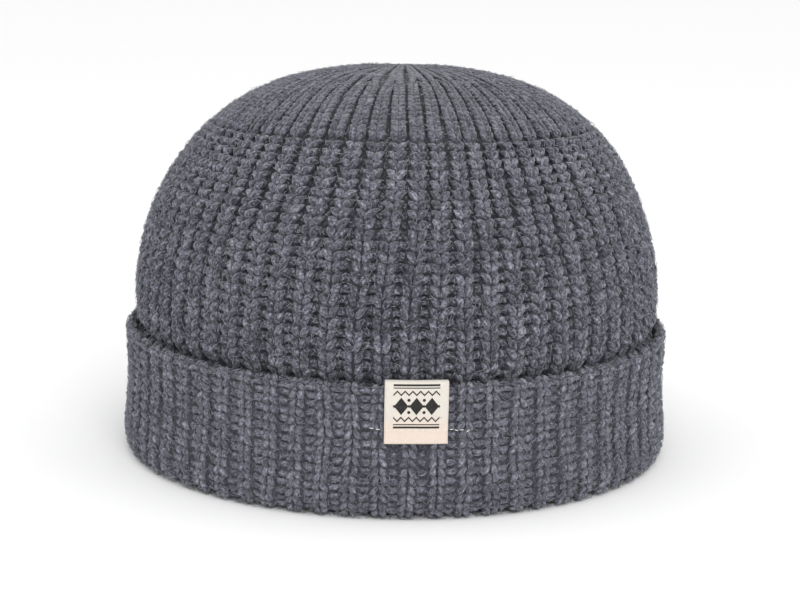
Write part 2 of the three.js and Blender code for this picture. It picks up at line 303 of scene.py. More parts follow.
def ring(inset, height):
    """A ring of an outline: its half width and depth, its height and its shift to the side."""
    return CUFF_HALF_WIDTH - inset, CUFF_HALF_DEPTH - inset, height, 0.0


def crown_meridian(knit, crown, cuff):
    """The crown's outside from its foot in the fold, over the shoulder, to the apex."""
    rows = []
    behind = knit.wall + LAYER_GAP
    for height in np.linspace(CROWN_FOOT, CUFF_HIGH.z, 24):
        rows.append(ring(cuff_inset(height, cuff) + behind, height))
    shoulder = CUFF_HIGH.z + crown.shoulder_rise
    for angle in np.linspace(0, math.pi / 2, 240):
        drawn = max(math.cos(angle), 0.0) ** crown.roundness
        height = shoulder + (HAT_TOP - shoulder) * math.sin(angle) ** crown.lift
        wide = (CUFF_HALF_WIDTH - crown.inset) * drawn
        deep = (CUFF_HALF_DEPTH - crown.inset) * drawn
        risen = (height - shoulder) / (HAT_TOP - shoulder)
        rows.append((wide, deep, height, crown.lean * float(smooth_step(*LEAN_REACH, risen))))
    return CrownMeridian(rows, shoulder, crown)


def cuff_meridian(knit, cuff):
    """The cuff's whole outline: up its face, over the edge, down behind and round the fold."""
    fold_depth = 2 * knit.wall + LAYER_GAP
    middle = fold_depth / 2
    edge_round = knit.wall / 2
    edge_height = CUFF_HIGH.z - edge_round
    seat = CROWN_FOOT - LAYER_GAP
    rows = []
    for angle in np.linspace(-math.pi / 2, math.pi / 2, 27):
        rows.append(ring(middle * (1 - math.sin(angle)), cuff.fold_round * (1 - math.cos(angle))))
    for height in np.linspace(cuff.fold_round, edge_height, 40)[1:-1]:
        rows.append(ring(cuff_inset(height, cuff), height))
    inset = cuff_inset(edge_height, cuff) + edge_round
    for angle in np.linspace(0, math.pi, 17):
        height = edge_height + edge_round * math.sin(angle)
        rows.append(ring(inset - edge_round * math.cos(angle), height))
    for height in np.linspace(edge_height, seat, 18)[1:]:
        rows.append(ring(cuff_inset(height, cuff) + knit.wall, height))
    for share in (0.5, 1.0):
        rows.append(ring(knit.wall + (fold_depth - knit.wall) * share, seat))
    rows.append(ring(fold_depth, cuff.fold_round))
    return Meridian(rows, closed=True)


# Width of one side of a valley, as a share of a rib's pitch
VALLEY_WIDTH = 0.36

# Each pair of ribs starts to close at a place of its own, and closes over this length
MERGE_SPREAD = 10 * MM
MERGE_LENGTH = 12 * MM

# The sway of a rib is two waves: height as a share of the pitch, and length in metres a radian
SWAY = ((0.035, 11 * MM), (0.025, 5.3 * MM))


class RibLayout:
    """Where each rib lies round the hat. Ribs go in pairs, and a pair can close to one rib."""

    def __init__(self, knit, merge_start=None):
        self.count = knit.rib_count
        rng = np.random.default_rng(knit.seed)
        self.starts = None
        if merge_start is not None:
            self.starts = merge_start + MERGE_SPREAD * rng.random(self.count // 2)
        self.phase = rng.random((2, self.count)) * FULL_TURN

    def closed(self, pair, along):
        """How far the valley between a pair's two ribs has closed."""
        if self.starts is None:
            return np.zeros(np.broadcast(pair, along).shape)
        start = self.starts[pair]
        return smooth_step(start, start + MERGE_LENGTH, along)

    def turn(self, rib, across, along, side=0):
        """The turn of a point of a rib; across goes from -0.5 to 0.5 between its valleys.
        When a pair closes, its outer legs spread over the new rib and its inner ones shrink."""
        pair, second = rib // 2, rib % 2
        shut = self.closed(pair, along)
        open_place = 0.5 + second + across
        shut_place = open_place
        if side != 0:
            inner = (side > 0) & (second == 0) | (side < 0) & (second == 1)
            shut_place = 1 + np.where(inner, 0.5, 2.0) * across
        place = (1 - shut) * open_place + shut * shut_place
        return (2 * pair + place) / self.count

    def sunk(self, rib, along, side):
        """How far a leg of a closing pair has sunk between its neighbours."""
        if side == 0 or self.starts is None:
            return np.zeros(np.shape(along))
        inner = (rib % 2 == 0) if side > 0 else (rib % 2 == 1)
        return np.where(inner, self.closed(rib // 2, along), 0.0)

    def valley(self, turn, along):
        """How deep in a valley a point of the cloth lies: 0 on a ridge and 1 in a valley."""
        place = (np.asarray(turn) % 1.0) * self.count
        pair = np.minimum((place // 2).astype(int), self.count // 2 - 1)
        inside = place - 2 * pair
        open_always = 1 - smooth_step(0.0, VALLEY_WIDTH, np.minimum(inside, 2 - inside))
        closing = 1 - smooth_step(0.0, VALLEY_WIDTH, np.abs(inside - 1))
        return np.maximum(open_always, closing * (1 - self.closed(pair, along)))

    def sway(self, rib, along):
        """The slight wander of a hand-laid rib, as a share of its pitch."""
        waves = zip(SWAY, self.phase)
        return sum(high * np.sin(along / long + phase[rib % self.count]) for (high, long), phase in waves)


# The stitches' sizes. inner, outer, width and middle across are shares of a rib's pitch; start,
# end, arch and tall are shares of a row; low, high and thick are metres out of the cloth.

LEG_MIDDLE = 0.16
LEG_ROOT_WIDTH = 0.76
LEG_WIDENING = 0.4
LEG_ARCH = 0.8

CROWN_LEG_LEFT = {
    "sides": 6, "steps": 6, "taper": 0.5, "peak": 0.9,
    "inner": 0.085, "outer": 0.238, "width": 0.15, "start": -0.16, "end": 1.12,
    "low": -2.6 * MM, "high": -1.05 * MM, "thick": 1.1 * MM,
}
CROWN_LEG_RIGHT = {
    "sides": 6, "steps": 6, "taper": 0.5, "peak": 0.9,
    "inner": 0.09, "outer": 0.242, "width": 0.154, "start": -0.2, "end": 1.1,
    "low": -2.6 * MM, "high": -1.0 * MM, "thick": 1.15 * MM,
}
CROWN_PURL = {
    "sides": 6, "steps": 6, "taper": 0.55,
    "width": 0.28, "middle": 0.45, "arch": 0.5, "tall": 0.4,
    "low": -3.2 * MM, "high": -2.45 * MM, "thick": 0.85 * MM,
}
GATHER_LEG = {
    "sides": 6, "steps": 5, "taper": 0.5, "peak": 1.0,
    "inner": 0.15, "outer": 0.235, "width": 0.225, "start": -0.35, "end": 1.35,
    "low": -1.3 * MM, "high": -0.95 * MM, "thick": 0.9 * MM,
}
CUFF_LEG = {
    "sides": 6, "steps": 5, "taper": 0.5, "peak": 0.9,
    "inner": 0.09, "outer": 0.18, "width": 0.125, "start": -0.12, "end": 1.14,
    "low": -2.1 * MM, "high": -0.75 * MM, "thick": 1.05 * MM,
}
CUFF_PURL = {
    "sides": 6, "steps": 6, "taper": 0.55,
    "width": 0.26, "middle": 0.5, "arch": 0.2, "tall": 0.4,
    "low": -3.0 * MM, "high": -2.45 * MM, "thick": 0.85 * MM,
}


def upside_down(shape):
    """A stitch's sizes for the turned-up cuff, whose knit stands on its head."""
    values = dict(shape)
    if "start" in values:
        values["start"], values["end"] = 1 - shape["start"], 1 - shape["end"]
    else:
        values["middle"], values["arch"] = 1 - shape["middle"], -shape["arch"]
    return values


# Mesh helpers

def new_object(name, mesh):
    obj = bpy.data.objects.new(name, mesh)
    bpy.context.scene.collection.objects.link(obj)
    return obj


def add_piece(name, mesh, material, slot, node, smooth=True):
    """Makes a piece with its material, its body and the node that it stands for."""
    obj = new_object(name, mesh)
    mesh.materials.append(material)
    mesh.polygons.foreach_set("use_smooth", [smooth] * len(mesh.polygons))
    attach(obj, "root")
    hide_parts(node)


def mesh_from(bm, name):
    mesh = bpy.data.meshes.new(name)
    bm.to_mesh(mesh)
    bm.free()
    return mesh


@contextmanager
def edited(mesh):
    """Opens a mesh for an edit and writes it back."""
    bm = bmesh.new()
    bm.from_mesh(mesh)
    yield bm
    bm.to_mesh(mesh)
    bm.free()


def coordinates(mesh):
    flat = np.empty(len(mesh.vertices) * 3, np.float32)
    mesh.vertices.foreach_get("co", flat)
    return flat.reshape(-1, 3).astype(float)


def set_coordinates(mesh, points):
    mesh.vertices.foreach_set("co", points.astype(np.float32).ravel())
    mesh.update()


def cloth_grid(name, columns, rows):
    """A flat grid with x and y from 0 to 1 and its own UV map."""
    bm = bmesh.new()
    bm.loops.layers.uv.new("UVMap")
    bmesh.ops.create_grid(
        bm, x_segments=columns, y_segments=rows, size=0.5, calc_uvs=True)
    bmesh.ops.translate(bm, vec=(0.5, 0.5, 0.0), verts=bm.verts)
    return mesh_from(bm, name)


def close_cloth(mesh, thickness=None):
    """Joins a cloth's seam and pole, turns its faces out and gives it a wall if it needs one."""
    with edited(mesh) as bm:
        bmesh.ops.remove_doubles(bm, verts=bm.verts, dist=0.02 * MM)
        bmesh.ops.dissolve_degenerate(bm, edges=bm.edges, dist=0.002 * MM)
        bmesh.ops.recalc_face_normals(bm, faces=bm.faces)
        if thickness is not None:
            bmesh.ops.solidify(bm, geom=bm.faces, thickness=thickness)


def plumper(x, y, taper):
    """Scales a unit sphere's ring so that the yarn is blunter than a ball; 1 is a ball."""
    around = math.hypot(x, y)
    return around ** taper / around if around > 1e-6 else 0.0


def yarn_ball(shape):
    """A unit ball with its own UV map, to be drawn out into a piece of yarn."""
    bm = bmesh.new()
    bm.loops.layers.uv.new("UVMap")
    bmesh.ops.create_uvsphere(
        bm, u_segments=shape["sides"], v_segments=shape["steps"], radius=1.0, calc_uvs=True)
    return bm


def stitch_leg(name, side, shape):
    """One leg of a knit stitch: a plump spindle of yarn, its two ends tucked into the cloth."""
    bm = yarn_ball(shape)
    for vert in bm.verts:
        x, y, z = vert.co
        share = (z + 1) / 2
        fuller = plumper(x, y, shape["taper"])
        raised = math.sin(math.pi * share ** shape["peak"]) ** LEG_ARCH
        wider = LEG_ROOT_WIDTH + LEG_WIDENING * share
        vert.co = (
            side * (shape["inner"] + (shape["outer"] - shape["inner"]) * share
                    + shape["width"] * x * fuller * wider),
            shape["start"] + (shape["end"] - shape["start"]) * share,
            shape["low"] + (shape["high"] - shape["low"]) * raised + shape["thick"] * y * fuller,
        )
    bmesh.ops.recalc_face_normals(bm, faces=bm.faces)
    return mesh_from(bm, name)


def purl_bump(name, shape):
    """The arched bar of a purl stitch, lying across a valley."""
    bm = yarn_ball(shape)
    for vert in bm.verts:
        x, y, z = vert.co
        arch = 1 - z * z
        fuller = plumper(x, y, shape["taper"])
        vert.co = (
            0.5 + shape["width"] * z,
            shape["middle"] + shape["arch"] * (arch - 0.5) + shape["tall"] * x * fuller,
            shape["low"] + (shape["high"] - shape["low"]) * arch + shape["thick"] * y * fuller,
        )
    bmesh.ops.recalc_face_normals(bm, faces=bm.faces)
    return mesh_from(bm, name)


def knit_swatch(stitch, columns, rows):
    """A flat swatch of one stitch repeated by arrays; a column and a row are 1 apart."""
    seed = new_object("swatch", stitch)
    for count, step in ((columns, (1.0, 0.0, 0.0)), (rows, (0.0, 1.0, 0.0))):
        array = seed.modifiers.new("array", "ARRAY")
        array.use_relative_offset = False
        array.use_constant_offset = True
        array.constant_offset_displace = step
        array.count = count
    graph = bpy.context.evaluated_depsgraph_get()
    swatch = bpy.data.meshes.new_from_object(seed.evaluated_get(graph))
    bpy.data.objects.remove(seed)
    return swatch


# How much stitches differ: shares of a rib's pitch across and of a row along, and metres out
UNEVEN_ACROSS = 0.016
UNEVEN_ALONG = 0.045
UNEVEN_HEIGHT = 0.04
UNEVEN_TILT = 0.05
UNEVEN_LIFT = 0.12 * MM

# Each set of pieces starts its random draws at the seed plus an offset of its own
GATHERS_SEED = 20
CUFF_SEED = 40
FIBRES_SEED = 60
THREAD_SEED = 90

# A leg between two closing ribs sinks this far, and past the share it is left out
SHUT_DEPTH = 1.2 * MM
SHUT_SHARE = 0.8


def lay_swatch(stitch, meridian, layout, edges, seed, side=0,
               widen=None, lift_at=None, uneven=1.0, lump=0.1 * MM):
    """Wraps a swatch round the hat. Each stitch gets its own small shift, swell and tone."""
    columns, rows = layout.count, len(edges) - 1
    swatch = knit_swatch(stitch, columns, rows)
    each = len(stitch.vertices)
    points = coordinates(swatch)
    copy = np.arange(len(points)) // each
    rib, row = copy % columns, copy // columns
    rng = np.random.default_rng(seed)
    noise = rng.normal(size=(5, columns * rows)).clip(-2, 2)[:, copy] * uneven
    shift_x, shift_y, swell, tilt, plump = noise
    tone = rng.random(columns * rows)
    across = points[:, 0] - rib
    up = points[:, 1] - row
    inside = 0.5 + (up - 0.5) * (1 + UNEVEN_HEIGHT * plump) + UNEVEN_ALONG * shift_y
    along = edges[row] + inside * (edges[row + 1] - edges[row])
    along = np.clip(along, 0, meridian.length)
    if widen is not None:
        wider, middle = widen(along), side * LEG_MIDDLE
        across = middle * (0.75 + 0.25 * wider) + (across - middle) * wider
    across = across + UNEVEN_ACROSS * shift_x + UNEVEN_TILT * tilt * (up - 0.5)
    lift = points[:, 2] + UNEVEN_LIFT * swell
    if lift_at is not None:
        lift = lift_at(lift, rib, along)
    across = across + layout.sway(rib, along)
    lift = lift - SHUT_DEPTH * layout.sunk(rib, along, side)
    placed = meridian.place(layout.turn(rib, across, along, side), along, lift)
    placed += rng.normal(size=placed.shape).clip(-2, 2) * lump
    placed[:, 2] = np.maximum(placed[:, 2], FLOOR_GAP)
    set_coordinates(swatch, placed)
    attribute = swatch.attributes.new("stitch_tone", "FLOAT", "POINT")
    attribute.data.foreach_set("value", tone[copy].astype(np.float32))
    gone = layout.sunk(rib, edges[row], side) > SHUT_SHARE
    if gone.any():
        with edited(swatch) as bm:
            bm.verts.ensure_lookup_table()
            lost = [bm.verts[i] for i in np.nonzero(gone)[0]]
            bmesh.ops.delete(bm, geom=lost, context="VERTS")
    return swatch


# Materials

# A Mix node's sockets for colours: several share a name, so they are asked for by number
MIX_FIRST = 6
MIX_SECOND = 7
MIX_RESULT = 2


def linear_colour(text):
    """Turns an sRGB hex value into the linear colour that shaders use."""
    channels = [int(text[i:i + 2], 16) / 255 for i in (0, 2, 4)]
    linear = [c / 12.92 if c <= 0.04045 else ((c + 0.055) / 1.055) ** 2.4 for c in channels]
    return (*linear, 1.0)


def add_node(tree, kind, inputs=None, stops=(), **settings):
    """Adds a node with its settings, a ramp's colour stops, and its inputs as values or links."""
    node = tree.nodes.new(kind)
    for name, value in settings.items():
        setattr(node, name, value)
    if stops:
        elements = node.color_ramp.elements
        while len(elements) < len(stops):
            elements.new(0.5)
        for element, (position, colour) in zip(elements, stops):
            element.position = position
            element.color = colour
    for name, value in (inputs or {}).items():
        socket = node.inputs[name]
        if isinstance(value, bpy.types.NodeSocket):
            tree.links.new(value, socket)
        else:
            socket.default_value = value
    return node


def new_material(name):
    """A material and its empty node tree."""
    material = bpy.data.materials.new(name)
    material.use_nodes = True
    material.node_tree.nodes.clear()
    return material, material.node_tree


def pattern_scale(size):
    """Noise scale for blobs of a real size in metres."""
    return 1.0 / size


# How much the wool's tone changes over broad patches, and from stitch to stitch
BROAD_TONE = 0.22
STITCH_TONE = 0.1


def heather(tree, colours, tone=None):
    """The mottled colour of wool spun from dark and light fibres."""
    place = add_node(tree, "ShaderNodeTexCoord").outputs["Object"]
    fine = add_node(tree, "ShaderNodeTexNoise", {
        "Vector": place, "Scale": pattern_scale(0.9 * MM), "Detail": 2.0, "Roughness": 0.6})
    broad = add_node(tree, "ShaderNodeTexNoise", {
        "Vector": place, "Scale": pattern_scale(9 * MM), "Detail": 2.0, "Roughness": 0.5})
    total = add_node(tree, "ShaderNodeMath", {
        0: broad.outputs["Fac"], 1: BROAD_TONE, 2: fine.outputs["Fac"]}, operation="MULTIPLY_ADD")
    value = total.outputs[0]
    if tone is not None:
        value = add_node(tree, "ShaderNodeMath", {0: tone, 1: STITCH_TONE, 2: value},
                         operation="MULTIPLY_ADD").outputs[0]
        value = add_node(tree, "ShaderNodeMath", {0: value, 1: STITCH_TONE / 2},
                         operation="SUBTRACT").outputs[0]
    dark, middle, light = (linear_colour(c) for c in colours)
    mottled = add_node(tree, "ShaderNodeValToRGB", {"Fac": value}, stops=(
        (0.40, dark), (0.60, middle), (0.82, light)))
    return mottled.outputs["Color"]


# Turns of the yarn's fibres in a stitch, and how many streaks lie round it (X) and along it (Y).
# Z moves each stitch to another part of the noise.
YARN_TWIST = 0.35
STREAKS = {"X": 9.0, "Y": 1.4, "Z": 40.0}


def yarn_material(name, colours):
    # Woollen-spun two-ply yarn, knitted: soft and matt, with the plies' twist and loose fibres
    material, tree = new_material(name)
    tone = add_node(tree, "ShaderNodeAttribute", attribute_name="stitch_tone").outputs["Fac"]
    colour = heather(tree, colours, tone)
    uv = add_node(tree, "ShaderNodeTexCoord").outputs["UV"]
    split = add_node(tree, "ShaderNodeSeparateXYZ", {"Vector": uv})
    around, length = split.outputs["X"], split.outputs["Y"]
    twisted = add_node(tree, "ShaderNodeMath", {0: length, 1: YARN_TWIST, 2: around},
                       operation="MULTIPLY_ADD").outputs[0]
    streaks_at = {}
    for axis, value in zip("XYZ", (twisted, length, tone)):
        times = add_node(tree, "ShaderNodeMath", {0: value, 1: STREAKS[axis]}, operation="MULTIPLY")
        streaks_at[axis] = times.outputs[0]
    fibres_at = add_node(tree, "ShaderNodeCombineXYZ", streaks_at)
    fibres = add_node(tree, "ShaderNodeTexNoise", {
        "Vector": fibres_at.outputs["Vector"], "Scale": 1.0, "Detail": 3.0, "Roughness": 0.6})
    streaks = add_node(tree, "ShaderNodeValToRGB", {"Fac": fibres.outputs["Fac"]}, stops=(
        (0.32, (0.6, 0.6, 0.6, 1)), (0.52, (1, 1, 1, 1)), (0.7, (1.6, 1.6, 1.62, 1))))
    mixed = add_node(tree, "ShaderNodeMix", {
        "Factor": 1.0, MIX_FIRST: colour, MIX_SECOND: streaks.outputs["Color"]},
        data_type="RGBA", blend_type="MULTIPLY")
    turns = add_node(tree, "ShaderNodeMath", {0: around, 1: 2 * FULL_TURN}, operation="MULTIPLY")
    phase = add_node(tree, "ShaderNodeMath", {0: length, 1: FULL_TURN, 2: turns.outputs[0]},
                     operation="MULTIPLY_ADD")
    plies = add_node(tree, "ShaderNodeMath", {0: phase.outputs[0]}, operation="SINE")
    height = add_node(tree, "ShaderNodeMath", {
        0: plies.outputs[0], 1: 0.2, 2: fibres.outputs["Fac"]}, operation="MULTIPLY_ADD")
    bump = add_node(tree, "ShaderNodeBump", {
        "Strength": 0.8, "Distance": 0.45 * MM, "Height": height.outputs[0]})
    shader = add_node(tree, "ShaderNodeBsdfPrincipled", {
        "Base Color": mixed.outputs[MIX_RESULT], "Roughness": 0.92, "Specular IOR Level": 0.2,
        "Sheen Weight": 0.25, "Sheen Roughness": 0.45, "Normal": bump.outputs["Normal"]})
    add_node(tree, "ShaderNodeOutputMaterial", {"Surface": shader.outputs["BSDF"]})
    return material


def cloth_material(name, colours):
    # The inner loops of the same knit, packed close and fuzzy. It is given darker colours than the
    # yarn's, as painted shade between the stitches
    material, tree = new_material(name)
    colour = heather(tree, colours)
    place = add_node(tree, "ShaderNodeTexCoord").outputs["Object"]
    loops = add_node(tree, "ShaderNodeTexNoise", {
        "Vector": place, "Scale": pattern_scale(0.8 * MM), "Detail": 5.0, "Roughness": 0.7})
    bump = add_node(tree, "ShaderNodeBump", {
        "Strength": 1.0, "Distance": 0.5 * MM, "Height": loops.outputs["Fac"]})
    shader = add_node(tree, "ShaderNodeBsdfPrincipled", {
        "Base Color": colour, "Roughness": 0.95, "Specular IOR Level": 0.15,
        "Sheen Weight": 0.3, "Sheen Roughness": 0.5, "Normal": bump.outputs["Normal"]})
    add_node(tree, "ShaderNodeOutputMaterial", {"Surface": shader.outputs["BSDF"]})
    return material


# The rows just under the narrowing line are this share shorter, which makes the mean row shorter
ROW_SHORTENING = 0.27
MEAN_ROW = 0.93


def crown_rows(start, end, height):
    """Where the crown's rows of stitches meet; they get shorter near the narrowing line."""
    count = round((end - start) / (MEAN_ROW * height))
    middles = (np.arange(count) + 0.5) / count
    each = 1 - ROW_SHORTENING * smooth_step(0.55, 0.95, middles)
    return start + (end - start) * np.append(0.0, np.cumsum(each)) / each.sum()


# Share of the dome's width at which the ribs begin to close in pairs
MERGE_SHARE = 0.56


def crown_parts(scene):
    """The crown's outline, its ribs, and the place of the narrowing line."""
    knit, crown, cuff = scene.beanie_knit, scene.beanie_crown, scene.beanie_cuff
    meridian = crown_meridian(knit, crown, cuff)
    shoulder = CUFF_HIGH.z + crown.shoulder_rise
    angle = math.pi / 2 * (1 - (1 - crown.narrowing) ** (1 / crown.roundness))
    line_height = shoulder + (HAT_TOP - shoulder) * math.sin(angle) ** crown.lift
    line = float(np.interp(line_height, meridian.height, meridian.along))
    layout = RibLayout(knit, merge_start=meridian.read_share(MERGE_SHARE))
    return meridian, layout, line


def pitch_share(meridian, along):
    """A rib's pitch at a place as a share of its widest."""
    return meridian.read(along, meridian.half_width) / meridian.half_width.max()


# How far under the crown's outside its cloth lies, and how much thinner it is than the knit
CROWN_CLOTH_DEPTH = 1.2 * MM
CROWN_CLOTH_THINNER = 1.9 * MM

# In the finer rows the cloth lies this much higher, and its valleys are this much deeper
FINE_CLOTH_OVER = (-2 * MM, 3 * MM)
FINE_CLOTH_RISE = 0.15 * MM
FINE_VALLEY_DEPTH = 0.5 * MM

COLUMNS_PER_RIB = 6
CROWN_CLOTH_ROWS = 72
CUFF_CLOTH_ROWS = 48


class BEANIE_OT_crown_cloth(bpy.types.Operator):
    """Makes the crown's ribbed cloth, hollow and open below, under the stitches"""
    bl_idname = "beanie.crown_cloth"
    bl_label = "Crown cloth"

    def execute(self, context):
        scene = context.scene
        knit = scene.beanie_knit
        meridian, layout, line = crown_parts(scene)
        mesh = cloth_grid("crown_cloth", layout.count * COLUMNS_PER_RIB, CROWN_CLOTH_ROWS)
        flat = coordinates(mesh)
        turn = flat[:, 0]
        along = meridian.length * flat[:, 1]
        valley = layout.valley(turn, along)
        fine = smooth_step(*FINE_CLOTH_OVER, along - line)
        small = np.clip(pitch_share(meridian, along) * 1.3, 0.1, 1)
        valley_depth = (knit.rib_depth + FINE_VALLEY_DEPTH * fine) * small
        lift = -CROWN_CLOTH_DEPTH + FINE_CLOTH_RISE * fine - valley_depth * valley
        lift = lift * smooth_step(0, 3 * MM, meridian.length - along)
        set_coordinates(mesh, meridian.place(turn, along, lift))
        close_cloth(mesh, thickness=knit.wall - CROWN_CLOTH_THINNER)
        # Painted shade: the crown's cloth takes the yarn's dark fibres for its body too, so that the
        # valleys between the ribs read dark
        colours = scene.beanie_colours
        material = cloth_material("wool_cloth_shaded", (
            colours.yarn_dark, colours.yarn_dark, colours.yarn_middle))
        add_piece("crown_cloth", mesh, material, "crown_wool", "crown")
        return {"FINISHED"}


# The crown's stitches start this far below the cuff's edge and end just under the line
CROWN_STITCHES_TUCKED = 5 * MM
SEAM_GAP_BELOW = 0.5 * MM

# Towards the narrowing line the purls sink and the legs widen, so that the ribs stand out
PURLS_SINK = 1.4 * MM
PURLS_SINK_OVER = (-40 * MM, -12 * MM)
LEGS_WIDEN = 0.4
LEGS_WIDEN_OVER = (-55 * MM, -12 * MM)


class BEANIE_OT_crown_stitches(bpy.types.Operator):
    """Knits the crown below the narrowing line: the legs of each rib and the purls between"""
    bl_idname = "beanie.crown_stitches"
    bl_label = "Crown stitches"

    def execute(self, context):
        scene = context.scene
        knit = scene.beanie_knit
        meridian, layout, line = crown_parts(scene)
        start = meridian.edge - CROWN_STITCHES_TUCKED
        edges = crown_rows(start, line - SEAM_GAP_BELOW, knit.crown_row)
        colours = scene.beanie_colours
        yarn = yarn_material("wool_yarn", (
            colours.yarn_dark, colours.yarn_middle, colours.yarn_light))
        shaded = yarn_material("wool_yarn_shaded", (
            colours.yarn_dark, colours.yarn_shade, colours.yarn_light))

        def scaled(lift, rib, along):
            return lift * np.clip(0.45 + 0.55 * pitch_share(meridian, along), 0, 1)

        def sinking(lift, rib, along):
            return scaled(lift, rib, along) - PURLS_SINK * smooth_step(*PURLS_SINK_OVER, along - line)

        def widen(along):
            return 1 + LEGS_WIDEN * smooth_step(*LEGS_WIDEN_OVER, along - line)

        left = stitch_leg("leg_left", -1, CROWN_LEG_LEFT)
        right = stitch_leg("leg_right", 1, CROWN_LEG_RIGHT)
        purl = purl_bump("purl", CROWN_PURL)
        pieces = (
            ("crown_legs_left", left, -1, widen, scaled, yarn),
            ("crown_legs_right", right, 1, widen, scaled, yarn),
            ("crown_purls", purl, 0, None, sinking, shaded),
        )
        for number, (name, stitch, side, wider, lift_at, wool) in enumerate(pieces):
            mesh = lay_swatch(stitch, meridian, layout, edges,
                              knit.seed + number, side, wider, lift_at, uneven=0.85)
            add_piece(name, mesh, wool, "crown_wool", "crown")
        return {"FINISHED"}


# Where the finer rows start above the line and end round the apex, and how they sink at first
SEAM_GAP_ABOVE = 0.6 * MM
SEAM_SINK = 0.25 * MM
SEAM_WIDTH = 6 * MM
APEX_HOLE = 1.6 * MM


class BEANIE_OT_crown_gathers(bpy.types.Operator):
    """Knits the finer rows above the narrowing line, where ribs close in pairs"""
    bl_idname = "beanie.crown_gathers"
    bl_label = "Crown gathers"

    def execute(self, context):
        scene = context.scene
        knit = scene.beanie_knit
        meridian, layout, line = crown_parts(scene)
        top = meridian.length - APEX_HOLE
        edges = np.linspace(line + SEAM_GAP_ABOVE, top, round((top - line) / knit.gather_row) + 1)
        colours = scene.beanie_colours
        # The same wool as the crown's, with a darker light stop as painted shade on the upward-facing top
        material = yarn_material("wool_yarn_fine", (
            colours.yarn_dark, colours.yarn_middle, colours.yarn_fine_shaded))

        def scaled(lift, rib, along):
            lift = lift * np.clip(pitch_share(meridian, along) * 1.35, 0.2, 1)
            return lift - SEAM_SINK * (1 - smooth_step(line, line + SEAM_WIDTH, along))

        for number, side in enumerate((-1, 1)):
            name = "gather_legs_left" if side < 0 else "gather_legs_right"
            stitch = stitch_leg(name, side, GATHER_LEG)
            mesh = lay_swatch(stitch, meridian, layout, edges,
                              knit.seed + GATHERS_SEED + number, side, lift_at=scaled,
                              uneven=0.4, lump=0.05 * MM)
            add_piece(name, mesh, material, "crown_wool", "crown")
        return {"FINISHED"}


# Places on the cuff's outline, from the middle of the fold up its face and over the edge
CUFF_STITCHES = (4 * MM, 55 * MM)
CUFF_FIBRES = (3 * MM, 56 * MM)
CUFF_FACE_STARTS = (2 * MM, 9 * MM)
CUFF_FACE_ENDS = (51 * MM, 57 * MM)
FOLD_ENDS = (4 * MM, 12 * MM)
LABEL_COVERS_FROM = 25 * MM

# How far under the cuff's outside its cloth lies, and how much deeper it is on the face
CUFF_CLOTH_DEPTH = 0.6 * MM
CUFF_FACE_DEPTH = 0.9 * MM

# How deep the label presses the fibres and the stitches that it covers
FIBRES_UNDER_LABEL = 2.2 * MM
STITCHES_UNDER_LABEL = 0.65 * MM

# Round the fold the legs sink and the purls rise, because the ribs are stretched flat there
LEGS_AT_FOLD = -2.1 * MM
PURLS_AT_FOLD = 0.3 * MM


class BEANIE_OT_cuff_cloth(bpy.types.Operator):
    """Makes the cuff's ribbed cloth with its rolled edge and the fold that it rests on"""
    bl_idname = "beanie.cuff_cloth"
    bl_label = "Cuff cloth"

    def execute(self, context):
        scene = context.scene
        knit, cuff = scene.beanie_knit, scene.beanie_cuff
        meridian = cuff_meridian(knit, cuff)
        layout = RibLayout(knit)
        mesh = cloth_grid("cuff_cloth", layout.count * COLUMNS_PER_RIB, CUFF_CLOTH_ROWS)
        flat = coordinates(mesh)
        turn = flat[:, 0]
        along = meridian.length * flat[:, 1]
        valley = layout.valley(turn, along)
        face = smooth_step(*CUFF_FACE_STARTS, along) * (1 - smooth_step(*CUFF_FACE_ENDS, along))
        lift = -CUFF_CLOTH_DEPTH - (CUFF_FACE_DEPTH + cuff.rib_depth * valley) * face
        set_coordinates(mesh, meridian.place(turn, along, lift))
        close_cloth(mesh)
        # Painted shade: the cuff's cloth is darker than its yarn, so that the gaps between the stitches
        # read dark
        colours = scene.beanie_colours
        material = cloth_material("wool_cuff_cloth_shaded", (
            colours.yarn_dark, colours.yarn_shade, colours.yarn_middle))
        add_piece("cuff_cloth", mesh, material, "cuff_wool", "cuff")
        return {"FINISHED"}


